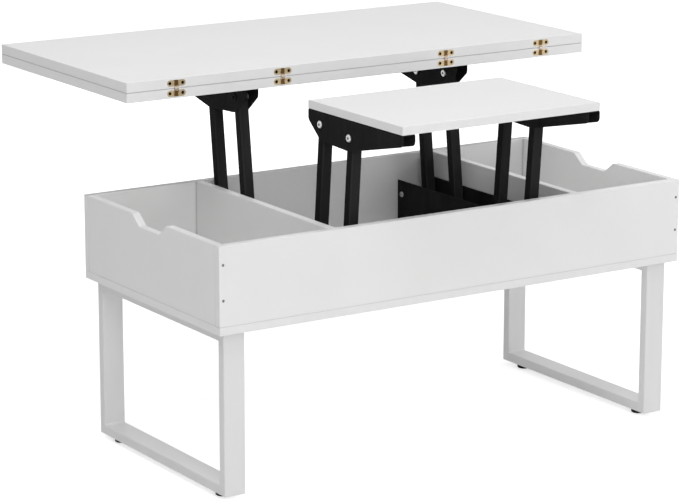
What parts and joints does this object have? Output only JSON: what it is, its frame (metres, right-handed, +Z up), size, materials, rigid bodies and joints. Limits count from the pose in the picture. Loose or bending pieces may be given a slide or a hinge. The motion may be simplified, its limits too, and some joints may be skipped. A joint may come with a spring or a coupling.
{
  "type": "lift-top coffee and dining table",
  "caption": "White storage coffee table on tube leg frames. Its folding top swings up and back on steel arms, and a small top swings up in front to carry the unfolded leaf.",
  "frame": {"origin": "on the floor, at the middle of the raised table's box", "axes": "+X along the table, +Y to the back, where the main top swings, +Z up"},
  "size_m": [0.997, 0.9222, 0.6897],
  "materials": {
    "white_board": "white melamine, satin",
    "white_steel": "white powder coat",
    "black_steel": "black powder coat",
    "bright_steel": "zinc plated",
    "dark_steel": "dark plated",
    "brass": "satin brass",
    "black_plastic": "moulded",
    "nylon": "moulded",
    "bare_wood": "bare beech"
  },
  "bodies": {
    "base": {"bottom_panel": "white_board", "front_panel": "white_board", "back_panel": "white_board", "left_end_panel": "white_board", "left_divider": "white_board", "left_base_channel": "black_steel", "right_end_panel": "white_board", "right_divider": "white_board", "right_base_channel": "black_steel", "left_front_post": "white_steel", "left_back_post": "white_steel", "left_top_rail": "white_steel", "left_bottom_rail": "white_steel", "right_front_post": "white_steel", "right_back_post": "white_steel", "right_top_rail": "white_steel", "right_bottom_rail": "white_steel", "glide_feet": "black_plastic", "leg_screws": "dark_steel", "corner_screws": "dark_steel", "bottom_screws": "dark_steel", "divider_dowels": "bare_wood", "channel_screws": "dark_steel", "base_pivot_pins": "bright_steel", "stop_pins": "bright_steel", "pivot_spacers": "bright_steel"},
    "rear_outer_arms": {"left_rear_outer_arm": "black_steel", "right_rear_outer_arm": "black_steel"},
    "rear_inner_arms": {"left_rear_inner_arm": "black_steel", "right_rear_inner_arm": "black_steel"},
    "main_top": {"lower_leaf": "white_board", "left_main_bracket": "black_steel", "right_main_bracket": "black_steel", "main_bracket_pins": "bright_steel", "main_arm_washers": "nylon", "main_bracket_screws": "dark_steel", "lower_hinge_plates": "brass", "lower_hinge_screws": "dark_steel", "hinge_pins": "brass"},
    "upper_leaf": {"upper_leaf": "white_board", "upper_hinge_plates": "brass", "upper_hinge_screws": "dark_steel"},
    "front_outer_arms": {"left_front_outer_arm": "black_steel", "right_front_outer_arm": "black_steel"},
    "front_inner_arms": {"left_front_inner_arm": "black_steel", "right_front_inner_arm": "black_steel"},
    "small_top": {"small_top": "white_board", "left_small_bracket": "black_steel", "right_small_bracket": "black_steel", "small_bracket_pins": "bright_steel", "small_arm_washers": "nylon", "small_bracket_screws": "dark_steel"}
  },
  "joints": [
    {"name": "lift", "type": "hinge", "parent": "base", "child": "rear_outer_arms", "pos_m": [0, 0.09027, 0.329], "axis": [1, 0, 0], "range_deg": [0, 77.19]},
    {"name": "rear_inner_swing", "type": "hinge", "parent": "base", "child": "rear_inner_arms", "pos_m": [0, -0.00273, 0.338], "axis": [1, 0, 0], "range_deg": [0, 77.19]},
    {"name": "main_top_level", "type": "hinge", "parent": "rear_outer_arms", "child": "main_top", "pos_m": [0, 0.12409, 0.62128], "axis": [1, 0, 0], "range_deg": [-77.19, 0]},
    {"name": "leaf_fold", "type": "hinge", "parent": "main_top", "child": "upper_leaf", "pos_m": [0, -0.03011, 0.67148], "axis": [1, 0, 0], "range_deg": [0, 180]},
    {"name": "front_lift", "type": "hinge", "parent": "base", "child": "front_outer_arms", "pos_m": [0, -0.2719, 0.329], "axis": [1, 0, 0], "range_deg": [-77.84, 0]},
    {"name": "front_inner_swing", "type": "hinge", "parent": "base", "child": "front_inner_arms", "pos_m": [0, -0.1789, 0.338], "axis": [1, 0, 0], "range_deg": [-77.84, 0]},
    {"name": "small_top_level", "type": "hinge", "parent": "front_outer_arms", "child": "small_top", "pos_m": [0, -0.29609, 0.60548], "axis": [1, 0, 0], "range_deg": [0, 77.84]}
  ],
  "couplings": [
    {"joint": "rear_inner_swing", "follows": "lift", "ratio": 1},
    {"joint": "main_top_level", "follows": "lift", "ratio": -1},
    {"joint": "front_lift", "follows": "lift", "ratio": -1.0084},
    {"joint": "front_inner_swing", "follows": "lift", "ratio": -1.0084},
    {"joint": "small_top_level", "follows": "lift", "ratio": 1.0084}
  ]
}
